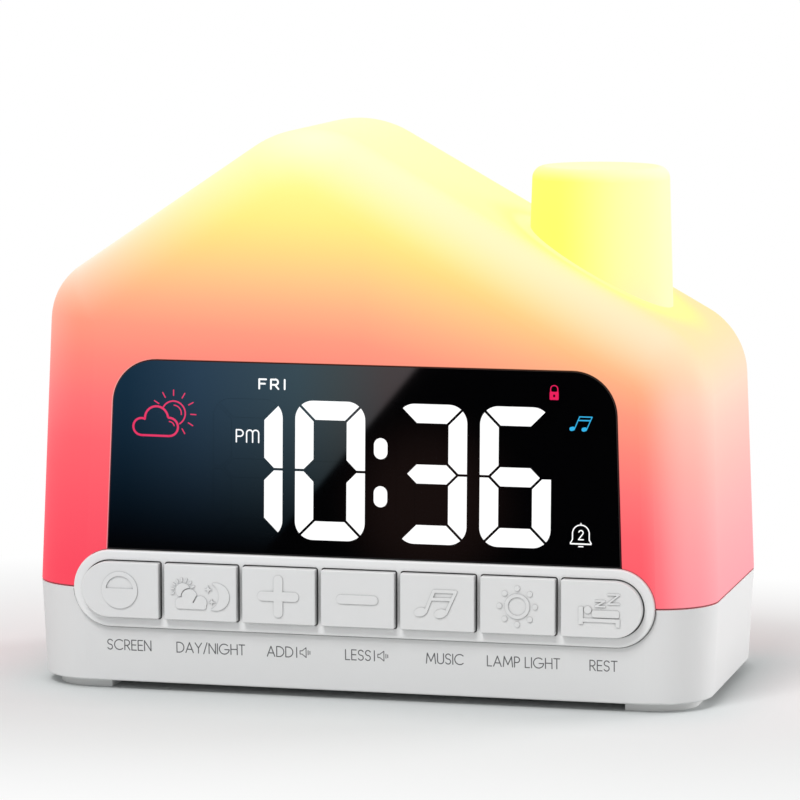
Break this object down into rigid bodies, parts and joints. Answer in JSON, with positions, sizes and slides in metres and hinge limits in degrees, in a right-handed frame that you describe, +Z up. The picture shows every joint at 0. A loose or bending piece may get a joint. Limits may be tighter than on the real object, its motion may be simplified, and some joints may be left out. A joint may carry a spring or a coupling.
{
  "type": "kids alarm clock",
  "caption": "House-shaped bedside alarm clock and night light: glowing gabled cover with a chimney, dark display window, white base and a rounded panel of press keys.",
  "frame": {"origin": "on the table under the middle of the clock's outline", "axes": "+Z up, -Y out of the display and keys, +X to the right of a person who faces the display"},
  "size_m": [0.168, 0.0851, 0.136],
  "materials": {
    "white_abs": "fine satin moulded ABS",
    "grey_abs": "satin moulded ABS",
    "lamp_cover": "frosted milky polypropylene, lit from inside, coral at the base to pale yellow at the ridge",
    "window_acrylic": "polished smoked acrylic",
    "lit_bars": "lit white light guides",
    "dark_bars": "smoked light guides, unlit",
    "black_abs": "black moulded ABS",
    "white_reflector": "white reflective ABS",
    "circuit_board": "green solder mask",
    "switch_case": "black moulded nylon",
    "switch_plunger": "soft plunger",
    "led_package": "LED package with clear fill",
    "screw_steel": "zinc-plated",
    "inlet_steel": "nickel-plated sheet",
    "inlet_tongue": "black LCP",
    "cell_steel": "bright steel can",
    "foot_rubber": "soft pale rubber",
    "speaker_steel": "zinc-plated and black painted steel",
    "speaker_paper": "black paper cone",
    "flat_cable": "flat ribbon cable",
    "lead_insulation": "red and black insulated pair"
  },
  "bodies": {
    "clock": {"base_shell": "white_abs", "battery_door": "white_abs", "battery_door_screw": "screw_steel", "case_screws": "screw_steel", "cell_holder": "black_abs", "coin_cell": "cell_steel", "connectors_and_chips": "switch_case", "dark_bars": "dark_bars", "deck_screws": "screw_steel", "digit_reflector": "white_reflector", "display_board": "circuit_board", "display_housing": "black_abs", "display_leds": "led_package", "display_ribbon": "flat_cable", "display_screws": "screw_steel", "display_window": "window_acrylic", "foot_front_left": "foot_rubber", "foot_front_right": "foot_rubber", "foot_rear_left": "foot_rubber", "foot_rear_right": "foot_rubber", "house_cover": "lamp_cover", "key_board": "circuit_board", "key_panel": "white_abs", "key_ribbon": "flat_cable", "key_switches": "switch_case", "lamp_board": "circuit_board", "lamp_deck": "white_reflector", "lamp_lead": "lead_insulation", "lamp_leds": "led_package", "lit_bars": "lit_bars", "main_board": "circuit_board", "main_board_screws": "screw_steel", "power_inlet_shell": "inlet_steel", "power_inlet_tongue": "inlet_tongue", "rear_switches": "switch_case", "speaker_basket": "speaker_steel", "speaker_cone": "speaker_paper", "speaker_lead": "lead_insulation", "speaker_magnet": "speaker_steel"},
    "dimmer_key": {"dimmer_key": "white_abs", "dimmer_plunger": "switch_plunger"},
    "day_night_key": {"day_night_key": "white_abs", "day_night_plunger": "switch_plunger"},
    "plus_key": {"plus_key": "white_abs", "plus_plunger": "switch_plunger"},
    "minus_key": {"minus_key": "white_abs", "minus_plunger": "switch_plunger"},
    "music_key": {"music_key": "white_abs", "music_plunger": "switch_plunger"},
    "lamp_level_key": {"lamp_level_key": "white_abs", "lamp_level_plunger": "switch_plunger"},
    "sleep_key": {"sleep_key": "white_abs", "sleep_plunger": "switch_plunger"},
    "clock_set_key": {"clock_set_key": "grey_abs", "clock_set_plunger": "switch_plunger"},
    "first_alarm_key": {"first_alarm_key": "grey_abs", "first_alarm_plunger": "switch_plunger"},
    "second_alarm_key": {"second_alarm_key": "grey_abs", "second_alarm_plunger": "switch_plunger"}
  },
  "joints": [
    {"name": "dimmer_press", "type": "slide", "parent": "clock", "child": "dimmer_key", "axis": [0, 1, 0], "range_m": [0, 0.0008], "stiffness_N_per_m": 1500, "springref_m": -0.0002},
    {"name": "day_night_press", "type": "slide", "parent": "clock", "child": "day_night_key", "axis": [0, 1, 0], "range_m": [0, 0.0008], "stiffness_N_per_m": 1500, "springref_m": -0.0002},
    {"name": "plus_press", "type": "slide", "parent": "clock", "child": "plus_key", "axis": [0, 1, 0], "range_m": [0, 0.0008], "stiffness_N_per_m": 1500, "springref_m": -0.0002},
    {"name": "minus_press", "type": "slide", "parent": "clock", "child": "minus_key", "axis": [0, 1, 0], "range_m": [0, 0.0008], "stiffness_N_per_m": 1500, "springref_m": -0.0002},
    {"name": "music_press", "type": "slide", "parent": "clock", "child": "music_key", "axis": [0, 1, 0], "range_m": [0, 0.0008], "stiffness_N_per_m": 1500, "springref_m": -0.0002},
    {"name": "lamp_level_press", "type": "slide", "parent": "clock", "child": "lamp_level_key", "axis": [0, 1, 0], "range_m": [0, 0.0008], "stiffness_N_per_m": 1500, "springref_m": -0.0002},
    {"name": "sleep_press", "type": "slide", "parent": "clock", "child": "sleep_key", "axis": [0, 1, 0], "range_m": [0, 0.0008], "stiffness_N_per_m": 1500, "springref_m": -0.0002},
    {"name": "clock_set_press", "type": "slide", "parent": "clock", "child": "clock_set_key", "axis": [0, -1, 0], "range_m": [0, 0.0006], "stiffness_N_per_m": 1800, "springref_m": -0.0002},
    {"name": "first_alarm_press", "type": "slide", "parent": "clock", "child": "first_alarm_key", "axis": [0, -1, 0], "range_m": [0, 0.0006], "stiffness_N_per_m": 1800, "springref_m": -0.0002},
    {"name": "second_alarm_press", "type": "slide", "parent": "clock", "child": "second_alarm_key", "axis": [0, -1, 0], "range_m": [0, 0.0006], "stiffness_N_per_m": 1800, "springref_m": -0.0002}
  ]
}
